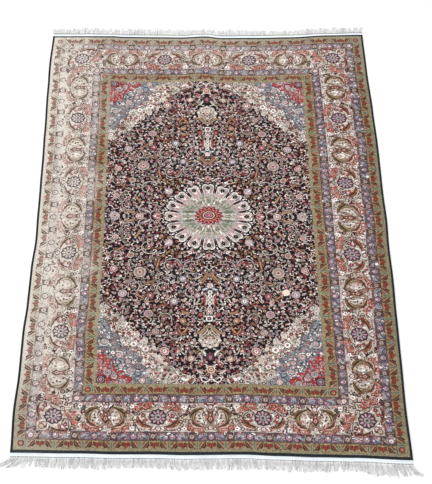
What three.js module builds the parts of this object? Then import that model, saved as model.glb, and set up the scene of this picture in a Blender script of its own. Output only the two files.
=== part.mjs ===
// A knotted silk rug, 1.22 m by 1.83 m, lying flat: a pile body, an overcast cord along each
// long side, and a plain-woven band with a knotted fringe at each end.
// Millimetres, +Z up, +Y along the rug's length. The origin is the middle of the underside.

import * as THREE from "three";

// Driving dimensions
const RUG_WIDTH = 1220; // over both selvedges
const RUG_LENGTH = 1830; // the knotted pile, without its end bands
const PILE_THICKNESS = 5;
const PILE_EDGE_ROUND = 1;
const SELVEDGE_WIDTH = 7;
const SELVEDGE_HEIGHT = 6;
const SELVEDGE_ROUND = 2;
const SELVEDGE_ROUND_STEPS = 2;
const BAND_WIDTH = 16; // the woven end band between the pile and the fringe
const FRINGE_THICKNESS = 2.2; // of the band and of the locks that grow out of it
const STRANDS_PER_END = 120;
const STRAND_ROOT_WIDTH = 7;
const STRAND_TIP_WIDTH = 3.2;
const STRAND_STEPS = 3;
const SEAM_GAP = 0.3; // between neighbouring pieces
const SIDE_STEP = 60; // spacing of the points along an uneven long side
const END_STEP = 30; // and along an uneven end

const HALF_WIDTH = RUG_WIDTH / 2;
const HALF_LENGTH = RUG_LENGTH / 2;
const PILE_HALF_WIDTH = HALF_WIDTH - SELVEDGE_WIDTH - SEAM_GAP;

// How far each edge lies off the true rectangle, as a hand-knotted rug does. `along` is the place
// on the edge and `shift` the distance in +X on the long sides, or in +Y at the two ends.
const LEFT_EDGE = [
  { along: -915, shift: -0.5 },
  { along: -770, shift: -5 },
  { along: -640, shift: -0.5 },
  { along: -480, shift: -1.5 },
  { along: -370, shift: 3 },
  { along: -220, shift: 3.5 },
  { along: -100, shift: 9 },
  { along: 30, shift: 6.5 },
  { along: 250, shift: 3.5 },
  { along: 400, shift: 0 },
  { along: 620, shift: -5 },
  { along: 760, shift: -8 },
  { along: 915, shift: -4.5 },
];
const RIGHT_EDGE = [
  { along: -915, shift: 0 },
  { along: -740, shift: -3 },
  { along: -560, shift: -0.5 },
  { along: -400, shift: 1 },
  { along: -250, shift: 3.5 },
  { along: -120, shift: 2 },
  { along: 0, shift: 5 },
  { along: 120, shift: 2.5 },
  { along: 330, shift: 3.5 },
  { along: 510, shift: 0 },
  { along: 720, shift: -6 },
  { along: 915, shift: -8 },
];
const NEAR_EDGE = [
  { along: -610, shift: 9 },
  { along: -410, shift: 6.5 },
  { along: -290, shift: 3.6 },
  { along: -180, shift: 3.8 },
  { along: -85, shift: 1.5 },
  { along: 100, shift: 3.5 },
  { along: 200, shift: -1 },
  { along: 320, shift: -5 },
  { along: 430, shift: -7 },
  { along: 610, shift: -14.5 },
];
const FAR_EDGE = [
  { along: -610, shift: -2 },
  { along: -440, shift: -1 },
  { along: -370, shift: -1 },
  { along: -335, shift: -4.7 },
  { along: -105, shift: -4.7 },
  { along: -10, shift: 2.5 },
  { along: 50, shift: -6.5 },
  { along: 180, shift: -4 },
  { along: 320, shift: 0.7 },
  { along: 470, shift: 12 },
  { along: 610, shift: 17 },
];

// How the fringe lies: `length` of the strands past the band, and `sway` of their tips in +X.
const NEAR_FRINGE = [
  { along: -610, length: 30, sway: -40 },
  { along: -570, length: 36, sway: -30 },
  { along: -532, length: 35, sway: 3 },
  { along: -390, length: 38, sway: -3 },
  { along: -244, length: 32, sway: 4 },
  { along: -60, length: 37, sway: -2 },
  { along: 176, length: 36, sway: 3 },
  { along: 322, length: 37, sway: -4 },
  { along: 410, length: 30, sway: 2 },
  { along: 488, length: 44, sway: 7 },
  { along: 546, length: 46, sway: 8 },
  { along: 610, length: 40, sway: 24 },
];
const FAR_FRINGE = [
  { along: -610, length: 34, sway: -14 },
  { along: -546, length: 40, sway: -4 },
  { along: -370, length: 37, sway: 3 },
  { along: -195, length: 41, sway: -3 },
  { along: 0, length: 36, sway: 2 },
  { along: 146, length: 41, sway: -3 },
  { along: 283, length: 30, sway: 1 },
  { along: 440, length: 40, sway: -2 },
  { along: 610, length: 37, sway: 8 },
];
const STRAND_LENGTH_JITTER = 3;
const STRAND_SWAY_JITTER = 2.2;
const STRAND_SWAY_POWER = 1.6; // a strand leaves its band square and drifts towards its tip

// A smooth reading of a table's column at one place along its edge.
function readTable(rows, column, along) {
  const last = rows.length - 1;
  if (along <= rows[0].along) return rows[0][column];
  if (along >= rows[last].along) return rows[last][column];
  const next = rows.findIndex((row) => row.along > along);
  const [a, b] = [rows[next - 1], rows[next]];
  const t = (along - a.along) / (b.along - a.along);
  return THREE.MathUtils.lerp(a[column], b[column], t * t * (3 - 2 * t));
}

// Where a point of the true rectangle lies on the uneven rug.
function laid(u, v) {
  const across = THREE.MathUtils.clamp((u + HALF_WIDTH) / RUG_WIDTH, 0, 1);
  const up = THREE.MathUtils.clamp((v + HALF_LENGTH) / RUG_LENGTH, 0, 1);
  const sideways = THREE.MathUtils.lerp(
    readTable(LEFT_EDGE, "shift", v),
    readTable(RIGHT_EDGE, "shift", v),
    across,
  );
  const lengthways = THREE.MathUtils.lerp(
    readTable(NEAR_EDGE, "shift", u),
    readTable(FAR_EDGE, "shift", u),
    up,
  );
  return new THREE.Vector2(u + sideways, v + lengthways);
}

// Points along a straight line of the true rectangle, laid on the uneven rug. They stand at fixed
// stations, so that two pieces which meet along a line bend at the same places.
function laidLine(from, to) {
  const lengthways = from.x === to.x;
  const step = lengthways ? SIDE_STEP : END_STEP;
  const [start, end] = lengthways ? [from.y, to.y] : [from.x, to.x];
  const direction = Math.sign(end - start);
  const stations = [start];
  let station = step * (Math.floor((direction * start) / step) + 1);
  for (; station < direction * end; station += step) stations.push(direction * station);
  return stations.map((at) => (lengthways ? laid(from.x, at) : laid(at, from.y)));
}

// The outline of a straight-sided panel of the true rectangle, laid on the uneven rug.
function panelShape(uLow, uHigh, vLow, vHigh) {
  const corners = [
    new THREE.Vector2(uLow, vLow),
    new THREE.Vector2(uHigh, vLow),
    new THREE.Vector2(uHigh, vHigh),
    new THREE.Vector2(uLow, vHigh),
  ];
  return new THREE.Shape(corners.flatMap((corner, i) => laidLine(corner, corners[(i + 1) % 4])));
}

// A panel of even thickness that rests on the floor, with its edges rounded.
function slab(shape, thickness, round, roundSteps) {
  const geometry = new THREE.ExtrudeGeometry(shape, {
    depth: thickness - 2 * round,
    bevelEnabled: round > 0,
    bevelThickness: round,
    bevelSize: round,
    bevelOffset: -round,
    bevelSegments: roundSteps,
  });
  return geometry.translate(0, 0, round);
}

// A repeatable number from -1 to 1 for the strand with this number.
function jitter(number) {
  const wave = Math.sin(number * 12.9898 + 4.1) * 43758.5453;
  return 2 * (wave - Math.floor(wave)) - 1;
}

// One strand lying on the floor: a flat lock that narrows from its root in the band to its tip.
// Its outline runs out along its right edge and back along its left one.
function strandOutline(u, side, table, number) {
  const length = readTable(table, "length", u) + STRAND_LENGTH_JITTER * jitter(number);
  const sway = readTable(table, "sway", u) + STRAND_SWAY_JITTER * jitter(number + 0.5);
  const root = HALF_LENGTH + SEAM_GAP + BAND_WIDTH;
  const right = [];
  const left = [];
  for (let i = 0; i <= STRAND_STEPS; i++) {
    const t = i / STRAND_STEPS;
    const half = THREE.MathUtils.lerp(STRAND_ROOT_WIDTH, STRAND_TIP_WIDTH, t) / 2;
    const centre = laid(u, side * (root + length * t));
    const drift = sway * t ** STRAND_SWAY_POWER;
    right.push(new THREE.Vector2(centre.x + drift + half, centre.y));
    left.unshift(new THREE.Vector2(centre.x + drift - half, centre.y));
  }
  return [...right, ...left];
}

// The pile body, a flat slab of knots on its foundation.
function pileGeometry() {
  const shape = panelShape(-PILE_HALF_WIDTH, PILE_HALF_WIDTH, -HALF_LENGTH, HALF_LENGTH);
  return slab(shape, PILE_THICKNESS, PILE_EDGE_ROUND, 1);
}

// The overcast cord along one long side: side is -1 on the left and 1 on the right.
function selvedgeGeometry(side) {
  const inner = side * (HALF_WIDTH - SELVEDGE_WIDTH);
  const outer = side * HALF_WIDTH;
  const shape = panelShape(Math.min(inner, outer), Math.max(inner, outer), -HALF_LENGTH, HALF_LENGTH);
  return slab(shape, SELVEDGE_HEIGHT, SELVEDGE_ROUND, SELVEDGE_ROUND_STEPS);
}

// The woven end band with its strands, which are the band's own warps and so are one comb with it:
// side is -1 at the near end and 1 at the far end.
function fringeGeometry(side, table) {
  const inner = side * (HALF_LENGTH + SEAM_GAP);
  const outer = side * (HALF_LENGTH + SEAM_GAP + BAND_WIDTH);
  const pitch = RUG_WIDTH / STRANDS_PER_END;
  const outline = laidLine(new THREE.Vector2(-HALF_WIDTH, inner), new THREE.Vector2(HALF_WIDTH, inner));
  outline.push(laid(HALF_WIDTH, inner), laid(HALF_WIDTH, outer));
  for (let i = STRANDS_PER_END - 1; i >= 0; i--) {
    const u = -HALF_WIDTH + (i + 0.5) * pitch;
    outline.push(...strandOutline(u, side, table, i));
  }
  outline.push(laid(-HALF_WIDTH, outer));
  return slab(new THREE.Shape(outline), FRINGE_THICKNESS, 0, 0);
}

const silkPile = new THREE.MeshStandardMaterial({ color: 0x7d6a68, roughness: 0.6, metalness: 0 });
const selvedgeYarn = new THREE.MeshStandardMaterial({ color: 0x1e2a30, roughness: 0.7, metalness: 0 });
const fringeYarn = new THREE.MeshStandardMaterial({ color: 0xe6e3da, roughness: 0.75, metalness: 0 });

function piece(name, geometry, material) {
  const mesh = new THREE.Mesh(geometry, material);
  mesh.name = name;
  return mesh;
}

const rug = new THREE.Group();
rug.name = "silk_rug";
rug.add(
  piece("rug_pile", pileGeometry(), silkPile),
  piece("selvedge_left", selvedgeGeometry(-1), selvedgeYarn),
  piece("selvedge_right", selvedgeGeometry(1), selvedgeYarn),
  piece("fringe_near", fringeGeometry(-1, NEAR_FRINGE), fringeYarn),
  piece("fringe_far", fringeGeometry(1, FAR_FRINGE), fringeYarn),
);

export default rug;
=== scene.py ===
import math
import random

import bpy
import numpy as np
from mathutils import Matrix, Vector
from mathutils.bvhtree import BVHTree
from mathutils.geometry import delaunay_2d_cdt


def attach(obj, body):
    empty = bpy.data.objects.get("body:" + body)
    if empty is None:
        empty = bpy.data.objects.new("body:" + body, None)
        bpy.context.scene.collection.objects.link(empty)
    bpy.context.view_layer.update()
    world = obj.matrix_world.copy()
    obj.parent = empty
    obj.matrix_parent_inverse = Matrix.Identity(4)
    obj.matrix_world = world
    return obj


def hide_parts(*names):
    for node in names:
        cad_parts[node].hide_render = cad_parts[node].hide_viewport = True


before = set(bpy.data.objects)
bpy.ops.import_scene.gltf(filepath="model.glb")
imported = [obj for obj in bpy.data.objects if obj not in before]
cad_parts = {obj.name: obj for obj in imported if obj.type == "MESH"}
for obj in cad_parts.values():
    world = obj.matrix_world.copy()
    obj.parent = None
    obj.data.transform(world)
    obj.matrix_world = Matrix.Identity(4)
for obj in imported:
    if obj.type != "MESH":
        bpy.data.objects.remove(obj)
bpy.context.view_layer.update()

# A knotted silk rug lying on a pale floor. Its pile is drawn as a weaver's cartoon: flat shapes in
# painter's order over one quarter of the rug, cut into one mesh, mirrored to the other quarters and
# laid on the uneven rug. Sizes are millimetres of the true rectangle until the meshes are made.

random.seed(11)
MM = 0.001

# Driving sizes, as in the solids
HALF_WIDTH = 610.0
HALF_LENGTH = 915.0
SELVEDGE_WIDTH = 7.0
SELVEDGE_HEIGHT = 6.0
SEAM_GAP = 0.3
PILE_THICKNESS = 5.0
PILE_HALF_WIDTH = HALF_WIDTH - SELVEDGE_WIDTH - SEAM_GAP
BAND_WIDTH = 16.0
STRANDS_PER_END = 120

# How far each edge lies off the true rectangle: (along, shift)
LEFT_EDGE = ((-915, -0.5), (-770, -5), (-640, -0.5), (-480, -1.5), (-370, 3), (-220, 3.5), (-100, 9),
             (30, 6.5), (250, 3.5), (400, 0), (620, -5), (760, -8), (915, -4.5))
RIGHT_EDGE = ((-915, 0), (-740, -3), (-560, -0.5), (-400, 1), (-250, 3.5), (-120, 2), (0, 5),
              (120, 2.5), (330, 3.5), (510, 0), (720, -6), (915, -8))
NEAR_EDGE = ((-610, 9), (-410, 6.5), (-290, 3.6), (-180, 3.8), (-85, 1.5), (100, 3.5), (200, -1),
             (320, -5), (430, -7), (610, -14.5))
FAR_EDGE = ((-610, -2), (-440, -1), (-370, -1), (-335, -4.7), (-105, -4.7), (-10, 2.5), (50, -6.5),
            (180, -4), (320, 0.7), (470, 12), (610, 17))
# How the fringe lies: (along, length past the band, sway of the tips)
NEAR_FRINGE = ((-610, 30, -40), (-570, 36, -30), (-532, 35, 3), (-390, 38, -3), (-244, 32, 4),
               (-60, 37, -2), (176, 36, 3), (322, 37, -4), (410, 30, 2), (488, 44, 7), (546, 46, 8),
               (610, 40, 24))
FAR_FRINGE = ((-610, 34, -14), (-546, 40, -4), (-370, 37, 3), (-195, 41, -3), (0, 36, 2),
              (146, 41, -3), (283, 30, 1), (440, 40, -2), (610, 37, 8))
STRAND_SWAY_POWER = 1.6

# How far the design drifts from its true place: sideways in +X by the place along the length, and
# lengthways in +Y in the middle of the rug
SIDEWAYS_DRIFT = ((-915, 0), (-668, 0), (-300, -8), (0, -13), (400, -12), (668, -9), (915, 0))
LENGTHWAYS_DRIFT = 12.0
LENGTHWAYS_REACH = 480.0
KNOT_WOBBLE = 1.3

# The bands of the border, as depths from the rug's outer edge
DARK_EDGE = 8.0
OUTER_GUARD = (18.0, 44.0)
OUTER_LILAC = (44.0, 75.0)
MAIN_BAND = (75.0, 178.0)
INNER_LILAC = (178.0, 207.0)
INNER_GUARD = (207.0, 241.0)
BORDER_DEPTH = 247.0
FIELD_HALF_WIDTH = HALF_WIDTH - BORDER_DEPTH
FIELD_HALF_LENGTH = HALF_LENGTH - BORDER_DEPTH

# Yarns, as display colours from 0 to 255
YARNS = {
    "ink": (23, 10, 17),
    "navy": (38, 44, 58),
    "teal": (30, 40, 44),
    "wine": (84, 34, 42),
    "crimson": (142, 50, 60),
    "red": (168, 58, 62),
    "flame": (168, 74, 56),
    "coral": (192, 104, 94),
    "rose": (178, 124, 126),
    "pink": (212, 176, 172),
    "blush": (192, 178, 175),
    "ivory": (206, 192, 182),
    "cream": (225, 212, 201),
    "white": (246, 242, 236),
    "grey": (166, 160, 160),
    "slate": (104, 108, 114),
    "sky": (156, 172, 178),
    "blue": (96, 106, 132),
    "lilac": (168, 148, 160),
    "dusk": (106, 89, 98),
    "violet": (80, 56, 78),
    "plum": (86, 58, 66),
    "moss": (142, 144, 124),
    "sage": (172, 170, 156),
    "green": (88, 98, 80),
    "olive": (116, 98, 62),
    "khaki": (150, 139, 112),
    "straw": (157, 139, 106),
    "tan": (190, 158, 122),
    "gold": (188, 158, 112),
    "orange": (180, 106, 72),
    "rust": (142, 86, 64),
    "brown": (70, 44, 36),
    "umber": (104, 78, 68),
    "fawn": (158, 134, 120),
}


# Places on the uneven rug

def read_table(rows, column, along):
    """A smooth reading of one column of a table at places along its edge."""
    table = np.array(rows, float)
    places = table[:, 0]
    after = np.clip(np.searchsorted(places, along, side="right"), 1, len(places) - 1)
    t = np.clip((along - places[after - 1]) / (places[after] - places[after - 1]), 0, 1)
    t = t * t * (3 - 2 * t)
    return table[after - 1, column] * (1 - t) + table[after, column] * t


def laid(u, v):
    """Where points of the true rectangle lie on the uneven rug."""
    u = np.asarray(u, float)
    v = np.asarray(v, float)
    across = np.clip((u + HALF_WIDTH) / (2 * HALF_WIDTH), 0, 1)
    up = np.clip((v + HALF_LENGTH) / (2 * HALF_LENGTH), 0, 1)
    x = u + (1 - across) * read_table(LEFT_EDGE, 1, v) + across * read_table(RIGHT_EDGE, 1, v)
    y = v + (1 - up) * read_table(NEAR_EDGE, 1, u) + up * read_table(FAR_EDGE, 1, u)
    return x, y


def fall(value, full, none):
    """1 up to full, 0 from none on, smooth between."""
    t = np.clip((value - full) / (none - full), 0, 1)
    return 1 - t * t * (3 - 2 * t)


def drifted(u, v):
    """The knotter's drift of the design, which is nil along the pile's own edges."""
    inside_u = fall(np.abs(u), FIELD_HALF_WIDTH, PILE_HALF_WIDTH)
    inside_v = fall(np.abs(v), FIELD_HALF_LENGTH, HALF_LENGTH)
    wobble_u = np.sin(v / 61 + 0.4) * np.sin(u / 83 + 1.1) + 0.6 * np.sin(v / 29 + u / 37)
    wobble_v = np.sin(u / 57 + 2.0) * np.sin(v / 91 + 0.3) + 0.6 * np.sin(u / 31 - v / 43 + 1.7)
    inside = inside_u * inside_v
    sideways = inside_u * read_table(SIDEWAYS_DRIFT, 1, v)
    lengthways = inside_u * LENGTHWAYS_DRIFT * fall(np.abs(v), 0, LENGTHWAYS_REACH)
    return u + sideways + KNOT_WOBBLE * inside * wobble_u, v + lengthways + KNOT_WOBBLE * inside * wobble_v


# The cartoon: shapes and motifs

def polar(radius, angle):
    return np.stack([radius * np.cos(angle), radius * np.sin(angle)], -1)


STATION_STEP = 24.0


def stationed(points):
    """A closed outline with stations along its long straight edges, so that it can bend with the rug."""
    points = np.asarray(points, float)
    line = []
    for a, b in zip(points, np.roll(points, -1, axis=0)):
        count = max(1, math.ceil(np.linalg.norm(b - a) / STATION_STEP))
        line.extend(a + (b - a) * (k / count) for k in range(count))
    return np.array(line)


def disc(radius, corners=8, squash=1.0, turn=0.0):
    points = polar(np.full(corners, radius), np.arange(corners) * 2 * math.pi / corners + turn)
    return points * (1.0, squash)


def petalled(radius, petals, depth=0.25, turn=0.0, steps=3):
    """A round outline with rounded petals."""
    angle = np.arange(petals * steps) * 2 * math.pi / (petals * steps)
    reach = radius * (1 - depth * (1 - np.abs(np.cos(petals * angle / 2))))
    return polar(reach, angle + turn)


def curve_through(points, steps):
    """A smooth line through points, with some steps between each two."""
    points = np.asarray(points, float)
    padded = np.vstack([2 * points[0] - points[1], points, 2 * points[-1] - points[-2]])
    line = []
    for a, b, c, d in zip(padded[:-3], padded[1:-2], padded[2:-1], padded[3:]):
        for t in np.arange(steps) / steps:
            line.append(0.5 * (2 * b + (c - a) * t + (2 * a - 5 * b + 4 * c - d) * t ** 2
                               + (3 * b - a - 3 * c + d) * t ** 3))
    return np.array(line + [points[-1]])


def sideways_of(line):
    """The unit normals along a line."""
    along = np.gradient(line, axis=0)
    along /= np.maximum(np.linalg.norm(along, axis=1), 1e-9)[:, None]
    return np.stack([-along[:, 1], along[:, 0]], -1)


def leaf_outline(start, end, bend, width, steps=3):
    """A pointed leaf from start to end that bows to its left by bend."""
    start, end = np.asarray(start, float), np.asarray(end, float)
    t = np.linspace(0, 1, steps + 1)
    along = end - start
    left = np.array([-along[1], along[0]]) / np.linalg.norm(along)
    line = start + np.outer(t, along) + np.outer(4 * bend * t * (1 - t), left)
    half = np.outer(width / 2 * np.sin(math.pi * t) ** 0.8, np.ones(2)) * sideways_of(line)
    return np.vstack([line[:1], (line - half)[1:-1], line[-1:], (line + half)[1:-1][::-1]])


def spiral_line(radius, inner, turns, start, direction, step=5.5):
    """A line that winds in from radius to inner."""
    length = turns * math.pi * (radius + inner)
    t = np.linspace(0, 1, max(6, int(length / step)))
    return polar(radius + (inner - radius) * t, start + direction * turns * 2 * math.pi * t)


class Cartoon:
    """Flat shapes in painter's order: simple polygons, each of one yarn."""

    def __init__(self):
        self.shapes = []

    def shape(self, points, yarn, at=(0, 0)):
        self.shapes.append((np.asarray(points, float) + np.asarray(at, float), yarn))

    def stroke(self, line, width, yarn, tip=None):
        """A line of even width, or one that narrows to tip."""
        line = np.asarray(line, float)
        widths = np.linspace(width, width if tip is None else tip, len(line))
        side = sideways_of(line) * widths[:, None] / 2
        left, right = line + side, line - side
        for i in range(len(line) - 1):
            self.shape([right[i], right[i + 1], left[i + 1], left[i]], yarn)

    def leaf(self, start, end, bend, width, fill, edge=None, vein=None, rim=1.6):
        if edge:
            self.shape(leaf_outline(start, end, bend, width + 2 * rim), edge)
        self.shape(leaf_outline(start, end, bend, width), fill)
        if vein:
            self.shape(leaf_outline(start, end, bend * 1.05, width * 0.3), vein)

    def rosette(self, at, radius, petals, edge, petal, heart, eye, turn=0.0):
        self.shape(petalled(radius, petals, 0.2, turn), edge, at)
        self.shape(petalled(radius * 0.8, petals, 0.3, turn), petal, at)
        self.shape(disc(radius * 0.42, 8, 1, turn), heart, at)
        self.shape(disc(radius * 0.19, 6, 1, turn), eye, at)

    def blossom(self, at, radius, petal, eye, turn=0.0):
        """A small five-petalled flower."""
        self.shape(petalled(radius, 5, 0.36, turn, 2), petal, at)
        self.shape(disc(radius * 0.36, 5, 1, turn), eye, at)

    def bud(self, at, size, turn, petal, tip):
        """A tulip-shaped bud that points along turn."""
        way = np.array([math.cos(turn), math.sin(turn)])
        across = np.array([-way[1], way[0]])
        at = np.asarray(at, float)
        base, middle, top = at - 0.5 * size * way, at + 0.1 * size * way, at + 0.6 * size * way
        lobe = 0.42 * size * across
        self.shape([base, middle - lobe, top - lobe * 0.9, at + 0.25 * size * way, top + lobe * 0.9,
                    middle + lobe], petal)
        self.shape([base, middle - lobe * 0.4, top + 0.1 * size * way, middle + lobe * 0.4], tip)

    def palmette(self, at, size, turn, outer, inner, heart, tip):
        """A lotus fan that opens along turn."""
        way = np.array([math.cos(turn), math.sin(turn)])
        at = np.asarray(at, float)
        for reach, yarn, petals in ((1.0, outer, 7), (0.72, inner, 5)):
            angles = np.linspace(-2.0, 2.0, petals)
            fan = [at - 0.55 * reach * size * way]
            for i, angle in enumerate(angles):
                out = reach * size * (0.72 + 0.28 * math.cos(angle))
                fan.append(at + polar(out, turn + angle))
                if i < petals - 1:
                    between = (angle + angles[i + 1]) / 2
                    fan.append(at + polar(out * 0.78, turn + between))
            self.shape(fan, yarn)
        self.shape(leaf_outline(at - 0.4 * size * way, at + 0.62 * size * way, 0, 0.5 * size), heart)
        self.shape(leaf_outline(at + 0.1 * size * way, at + 0.95 * size * way, 0, 0.24 * size), tip)

    def place(self, other, origin, along, inward):
        """Every shape of another cartoon, its axes turned to along and inward."""
        axes = np.array([along, inward], float)
        for points, yarn in other.shapes:
            self.shape(points @ axes, yarn, origin)


# The field's ground: vines, leaves and small flowers

FIELD_MIXES = (
    ("tan", "rust", "fawn", "pink", "rose", "rust", "khaki", "ivory"),
    ("rose", "pink", "rose", "crimson", "blush", "pink", "fawn", "cream"),
    ("grey", "sage", "pink", "lilac", "rose", "grey", "cream", "fawn"),
)
FIELD_EYES = ("white", "wine", "wine", "cream", "ink", "crimson", "ink", "wine", "wine", "ink")


def pack(cartoon, box, pitch, draw, allowed):
    """Calls draw at jittered places of a hexagonal grid over a box, wherever allowed says so."""
    low_x, low_y, high_x, high_y = box
    for row in range(int((high_y - low_y) / (pitch * 0.87)) + 1):
        for column in range(int((high_x - low_x) / pitch) + 2):
            x = low_x + (column + 0.5 * (row % 2) + random.uniform(-0.28, 0.28)) * pitch
            y = low_y + (row + 0.5 + random.uniform(-0.28, 0.28)) * pitch * 0.87
            if allowed(x, y):
                draw(cartoon, x, y)


def small_motif(cartoon, x, y, size, petals, eyes, edge=None):
    """One small flower, leaf, ring or bud of a packed ground, with a line round it where edge is a yarn."""
    kind = random.random()
    turn = random.uniform(0, 2 * math.pi)
    petal = random.choice(petals)
    eye = random.choice(eyes)
    size = size * random.uniform(0.85, 1.12)
    at = np.array([x, y])
    if edge and kind < 0.87:
        cartoon.shape(petalled(size * 1.28, 5, 0.3, turn, 2), edge, at)
    if kind < 0.5:
        cartoon.shape(petalled(size * 1.04, 4, 0.32, turn, 2), petal, at)
        cartoon.shape(disc(size * 0.45, 4, 1, turn), eye, at)
    elif kind < 0.7:
        half = polar(size * 1.25, turn)
        cartoon.leaf(at - half, at + half, random.choice((-2.4, 2.4)), size * 1.05, petal)
    elif kind < 0.87:
        cartoon.shape(petalled(size * 1.12, 5, 0.26, turn, 2), petal, at)
        cartoon.shape(disc(size * 0.68, 4, 1, turn), eye, at)
        cartoon.shape(disc(size * 0.34, 4, 1, turn), random.choice(petals), at)
    else:
        cartoon.bud(at, size * 1.9, turn, petal, eye)


def field_motif(cartoon, x, y):
    """A small motif of the field, whose yarns change slowly over it."""
    drift = math.sin(x / 33 + 0.6) + math.sin(y / 39 + 1.3) + math.sin((x + y) / 51) + random.gauss(0, 0.9)
    mix = 0 if drift < -1.0 else 1 if drift < 0.4 else 2
    if random.random() < 0.26:
        sickle(cartoon, x, y, 7.6, random.choice(("cream", "pink", "white", "ivory", "blush", "tan")))
    else:
        small_motif(cartoon, x, y, random.uniform(4.9, 6.6), FIELD_MIXES[mix], FIELD_EYES)


def sickle(cartoon, x, y, size, yarn):
    """A curved stem with a bud at its tip."""
    turn = random.uniform(0, 2 * math.pi)
    hand = random.choice((1, -1))
    line = np.array([x, y]) + spiral_line(size, size * 0.55, 0.5, turn, hand, 4)
    cartoon.stroke(line, 3.4, yarn, 1.8)
    cartoon.shape(disc(2.7, 5, 1, turn), random.choice(("crimson", "rose", "white", "rust")), line[-1])


MEDALLION_RADIUS = 149.0
# Where the larger motifs stand in the field: (x, y, radius)
FIELD_TAKEN = ((0, 502, 42), (0, 572, 18), (0, 176, 16), (134, 116, 18), (233, 238, 22), (148, 545, 16),
               (200, 400, 17), (178, 0, 18), (326, 0, 18), (288, 322, 15), (116, 352, 14))


def field_free(x, y):
    """Whether a place of the field is outside the medallion, the corner piece and the main motifs."""
    if math.hypot(x, y) < MEDALLION_RADIUS - 3 or corner_reach(x, y, 1) > 2:
        return False
    return all(math.hypot(x - a, y - b) > r for a, b, r in FIELD_TAKEN)


# The field's main motifs, on the long axis, on the short axis and between them

def long_axis(cartoon):
    """What stands on the long axis, from the medallion out to the pendant and the field's end."""
    up = math.pi / 2
    cartoon.palmette((0, 170), 19, up, "rose", "pink", "crimson", "sky")
    for side in (1, -1):
        cartoon.leaf((16 * side, 156), (46 * side, 180), 4 * side, 8, "grey", "ink", "white")
        cartoon.blossom((64 * side, 156), 8, "white", "wine")
        for shift, yarn, vein in ((0, "tan", "rust"), (13, "rust", "tan")):
            root, tip = (side, 226 + shift), (40 * side, 282 + shift)
            cartoon.leaf(root, tip, 5 * side, 6.5, yarn, "ink", vein, 2)
        cartoon.leaf((6 * side, 300), (27 * side, 306), 3 * side, 10, "sky", "ink", "white")
        cartoon.leaf((24 * side, 318), (19 * side, 384), 7 * side, 9, "crimson", "ink", "rose")
        cartoon.leaf((12 * side, 326), (13 * side, 372), 3 * side, 7, "pink", "wine", "white")
        cartoon.rosette((30 * side, 405), 11, 6, "ink", "red", "rose", "wine")
        cartoon.leaf((34 * side, 540), (13 * side, 574), 6 * side, 11, "sage", "ink", "white")
        cartoon.leaf((40 * side, 556), (28 * side, 584), 6 * side, 8, "grey", "ink", "cream")
        cartoon.blossom((30 * side, 596), 10, "crimson", "pink")
        cartoon.leaf((22 * side, 630), (48 * side, 612), 4 * side, 9, "cream", "ink", "pink")
        curl = np.array([0, 652]) + np.array([side, 1]) * curve_through(
            [(1, -14), (8, 2), (22, 8), (32, 0), (28, -9), (20, -6)], 3)
        cartoon.stroke(curl, 4, "white", 2.5)
    cartoon.rosette((0, 293), 10, 6, "white", "pink", "white", "wine")
    for bead in range(5):
        cartoon.shape(petalled(10.5 - 0.5 * bead, 6, 0.3, 0.3), "ink", (0, 318 + 15 * bead))
        cartoon.shape(petalled(9 - 0.5 * bead, 6, 0.3, 0.3), "white", (0, 318 + 15 * bead))
        cartoon.shape(disc(4, 6), "rose" if bead % 2 else "green", (0, 318 + 15 * bead))
    cartoon.rosette((0, 391), 12, 7, "pink", "rose", "white", "crimson")
    cartoon.shape(petalled(15, 4, 0.45, up / 2), "white", (0, 421))
    cartoon.shape(petalled(9, 4, 0.45, up / 2), "wine", (0, 421))
    cartoon.shape(disc(3, 6), "pink", (0, 421))
    pendant(cartoon, (0, 500), 39)
    cartoon.palmette((0, 572), 22, -up, "plum", "violet", "rose", "crimson")
    cartoon.rosette((0, 615), 15, 7, "cream", "orange", "cream", "wine")
    cartoon.bud((0, 641), 16, up, "rose", "white")


def pendant(cartoon, at, radius):
    """The cream flower at each end of the medallion, under a roof of two tan leaves."""
    at = np.asarray(at, float)
    cartoon.shape(petalled(radius + 4, 9, 0.2, math.pi / 2), "ink", at)
    cartoon.shape(petalled(radius, 9, 0.2, math.pi / 2), "ivory", at)
    for k in range(9):
        angle = math.pi / 2 + k * 2 * math.pi / 9
        root, tip = at + polar(radius * 0.3, angle), at + polar(radius * 0.96, angle)
        cartoon.leaf(root, tip, 0, 14, "cream", "fawn", "white", 1.6)
        cartoon.shape(disc(4.4, 6), "olive" if k % 3 else "umber", at + polar(radius * 0.6, angle))
        cartoon.shape(disc(2.2, 5), "green", at + polar(radius * 0.86, angle + math.pi / 9))
    for k in range(5):
        angle = -math.pi / 2 + (k - 2) * 0.72
        place = at + polar(radius * 0.36, angle)
        cartoon.shape(petalled(6.4, 5, 0.3, angle, 2), "fawn", place)
        cartoon.shape(disc(4.2, 6), ("olive", "umber", "green")[k % 3], place)
    cartoon.rosette(at, 10, 6, "fawn", "cream", "rose", "wine")
    for side in (1, -1):
        for low, high, width, yarn, vein in ((0, 0, 11, "tan", "olive"), (-10, -12, 8, "khaki", "cream")):
            start = at + (3 * side, -radius - 22 - low)
            end = at + ((radius + 8 + high) * side, -radius * 0.45 - low)
            cartoon.leaf(start, end, 8 * side, width, yarn, "ink", vein, 1.8)
    cartoon.shape(disc(4, 6), "cream", at + (0, -radius - 18))


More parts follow.
